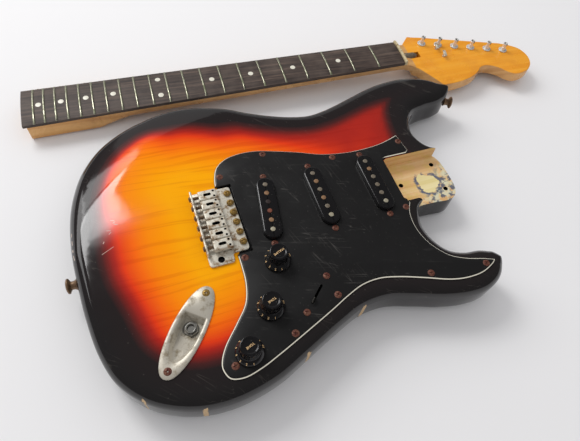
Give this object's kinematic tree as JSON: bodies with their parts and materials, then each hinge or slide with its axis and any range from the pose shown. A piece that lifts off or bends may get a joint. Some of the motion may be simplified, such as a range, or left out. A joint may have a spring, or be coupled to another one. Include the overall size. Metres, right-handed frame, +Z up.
{
  "type": "electric guitar, taken apart",
  "caption": "Solid-body electric guitar taken apart: contoured double-cutaway body with its hardware, and its detached bolt-on neck lying behind it.",
  "frame": {"origin": "on the table, under the middle of the box round body and neck", "axes": "+X along the body towards the headstock's end, +Y towards the bass side, where the neck lies, +Z up"},
  "size_m": [0.652, 0.4106, 0.0671],
  "materials": {
    "sunburst": "clear gloss over an amber, red and black burst, worn",
    "black_sheet": "black sheet with a cream ply at its edge, scratched",
    "black_gloss": "moulded, worn",
    "black_fibre": "plain",
    "bridge_chrome": "pitted and tarnished",
    "block_steel": "plain",
    "jack_chrome": "dulled",
    "brass": "aged",
    "plated_steel": "dulled",
    "maple": "aged gloss",
    "rosewood": "open grain, dry",
    "bone": "aged",
    "tuner_chrome": "dulled"
  },
  "bodies": {
    "guitar": {"body": "sunburst", "pickguard": "black_sheet", "jack_plate": "jack_chrome", "jack_socket": "jack_chrome", "strap_button_end": "brass", "strap_button_horn": "brass", "spring_claw": "plated_steel", "back_cover": "black_sheet", "switch_frame": "plated_steel", "neck": "maple", "fretboard": "rosewood", "nut": "bone", "truss_rod": "plated_steel", "string_tree_1": "tuner_chrome", "string_tree_2": "tuner_chrome", "neck_pickup_cover": "black_gloss", "neck_pickup_coil": "black_fibre", "middle_pickup_cover": "black_gloss", "middle_pickup_coil": "black_fibre", "bridge_pickup_cover": "black_gloss", "bridge_pickup_coil": "black_fibre", "volume_pot_case": "plated_steel", "tone_1_pot_case": "plated_steel", "tone_2_pot_case": "plated_steel", "tuner_1_housing": "tuner_chrome", "tuner_2_housing": "tuner_chrome", "tuner_3_housing": "tuner_chrome", "tuner_4_housing": "tuner_chrome", "tuner_5_housing": "tuner_chrome", "tuner_6_housing": "tuner_chrome", "tremolo_spring_1": "plated_steel", "tremolo_spring_2": "plated_steel", "tremolo_spring_3": "plated_steel"},
    "tremolo": {"bridge_plate": "bridge_chrome", "tremolo_block": "block_steel", "saddle_1": "bridge_chrome", "saddle_2": "bridge_chrome", "saddle_3": "bridge_chrome", "saddle_4": "bridge_chrome", "saddle_5": "bridge_chrome", "saddle_6": "bridge_chrome"},
    "switch_blade": {"switch_lever": "plated_steel"},
    "volume_control": {"volume_knob": "black_gloss", "volume_pot_shaft": "plated_steel"},
    "tone_1_control": {"tone_1_knob": "black_gloss", "tone_1_pot_shaft": "plated_steel"},
    "tone_2_control": {"tone_2_knob": "black_gloss", "tone_2_pot_shaft": "plated_steel"},
    "tuner_1_turner": {"tuner_1_button": "tuner_chrome"},
    "tuner_1_winder": {"tuner_1_post": "tuner_chrome"},
    "tuner_2_turner": {"tuner_2_button": "tuner_chrome"},
    "tuner_2_winder": {"tuner_2_post": "tuner_chrome"},
    "tuner_3_turner": {"tuner_3_button": "tuner_chrome"},
    "tuner_3_winder": {"tuner_3_post": "tuner_chrome"},
    "tuner_4_turner": {"tuner_4_button": "tuner_chrome"},
    "tuner_4_winder": {"tuner_4_post": "tuner_chrome"},
    "tuner_5_turner": {"tuner_5_button": "tuner_chrome"},
    "tuner_5_winder": {"tuner_5_post": "tuner_chrome"},
    "tuner_6_turner": {"tuner_6_button": "tuner_chrome"},
    "tuner_6_winder": {"tuner_6_post": "tuner_chrome"}
  },
  "joints": [
    {"name": "tremolo_pivot", "type": "hinge", "parent": "guitar", "child": "tremolo", "pos_m": [-0.13967, -0.04281, 0.0474], "axis": [0, 1, 0], "range_deg": [0, 8], "stiffness_Nm_per_rad": 5, "springref_deg": -8.59},
    {"name": "switch_swing", "type": "hinge", "parent": "guitar", "child": "switch_blade", "pos_m": [-0.09207, -0.14081, 0.0347], "axis": [-0.6871, 0.7266, 0], "range_deg": [0, 48]},
    {"name": "volume_turn", "type": "hinge", "parent": "guitar", "child": "volume_control", "pos_m": [-0.11517, -0.09881, 0.0026], "axis": [0, 0, 1], "range_deg": [-140, 140]},
    {"name": "tone_1_turn", "type": "hinge", "parent": "guitar", "child": "tone_1_control", "pos_m": [-0.13567, -0.14081, 0.0026], "axis": [0, 0, 1], "range_deg": [-140, 140]},
    {"name": "tone_2_turn", "type": "hinge", "parent": "guitar", "child": "tone_2_control", "pos_m": [-0.16467, -0.17281, 0.0026], "axis": [0, 0, 1], "range_deg": [-140, 140]},
    {"name": "tuner_1_button_turn", "type": "hinge", "parent": "guitar", "child": "tuner_1_turner", "pos_m": [0.1886, 0.17288, 0.0043], "axis": [0.35, 0.9367, 0.0047], "continuous": true},
    {"name": "tuner_1_post_turn", "type": "hinge", "parent": "guitar", "child": "tuner_1_winder", "pos_m": [0.18816, 0.1729, 0.0332], "axis": [-0.0153, 0.0007, 0.9999], "continuous": true},
    {"name": "tuner_2_button_turn", "type": "hinge", "parent": "guitar", "child": "tuner_2_turner", "pos_m": [0.21014, 0.16483, 0.00464], "axis": [0.35, 0.9367, 0.0047], "continuous": true},
    {"name": "tuner_2_post_turn", "type": "hinge", "parent": "guitar", "child": "tuner_2_winder", "pos_m": [0.2097, 0.16485, 0.03354], "axis": [-0.0153, 0.0007, 0.9999], "continuous": true},
    {"name": "tuner_3_button_turn", "type": "hinge", "parent": "guitar", "child": "tuner_3_turner", "pos_m": [0.23169, 0.15678, 0.00498], "axis": [0.35, 0.9367, 0.0047], "continuous": true},
    {"name": "tuner_3_post_turn", "type": "hinge", "parent": "guitar", "child": "tuner_3_winder", "pos_m": [0.23124, 0.1568, 0.03387], "axis": [-0.0153, 0.0007, 0.9999], "continuous": true},
    {"name": "tuner_4_button_turn", "type": "hinge", "parent": "guitar", "child": "tuner_4_turner", "pos_m": [0.25323, 0.14873, 0.00531], "axis": [0.35, 0.9367, 0.0047], "continuous": true},
    {"name": "tuner_4_post_turn", "type": "hinge", "parent": "guitar", "child": "tuner_4_winder", "pos_m": [0.25279, 0.14875, 0.03421], "axis": [-0.0153, 0.0007, 0.9999], "continuous": true},
    {"name": "tuner_5_button_turn", "type": "hinge", "parent": "guitar", "child": "tuner_5_turner", "pos_m": [0.27477, 0.14068, 0.00565], "axis": [0.35, 0.9367, 0.0047], "continuous": true},
    {"name": "tuner_5_post_turn", "type": "hinge", "parent": "guitar", "child": "tuner_5_winder", "pos_m": [0.27433, 0.1407, 0.03454], "axis": [-0.0153, 0.0007, 0.9999], "continuous": true},
    {"name": "tuner_6_button_turn", "type": "hinge", "parent": "guitar", "child": "tuner_6_turner", "pos_m": [0.29631, 0.13263, 0.00598], "axis": [0.35, 0.9367, 0.0047], "continuous": true},
    {"name": "tuner_6_post_turn", "type": "hinge", "parent": "guitar", "child": "tuner_6_winder", "pos_m": [0.29587, 0.13265, 0.03488], "axis": [-0.0153, 0.0007, 0.9999], "continuous": true}
  ],
  "couplings": [
    {"joint": "tuner_1_post_turn", "follows": "tuner_1_button_turn", "ratio": 0.071429},
    {"joint": "tuner_2_post_turn", "follows": "tuner_2_button_turn", "ratio": 0.071429},
    {"joint": "tuner_3_post_turn", "follows": "tuner_3_button_turn", "ratio": 0.071429},
    {"joint": "tuner_4_post_turn", "follows": "tuner_4_button_turn", "ratio": 0.071429},
    {"joint": "tuner_5_post_turn", "follows": "tuner_5_button_turn", "ratio": 0.071429},
    {"joint": "tuner_6_post_turn", "follows": "tuner_6_button_turn", "ratio": 0.071429}
  ]
}
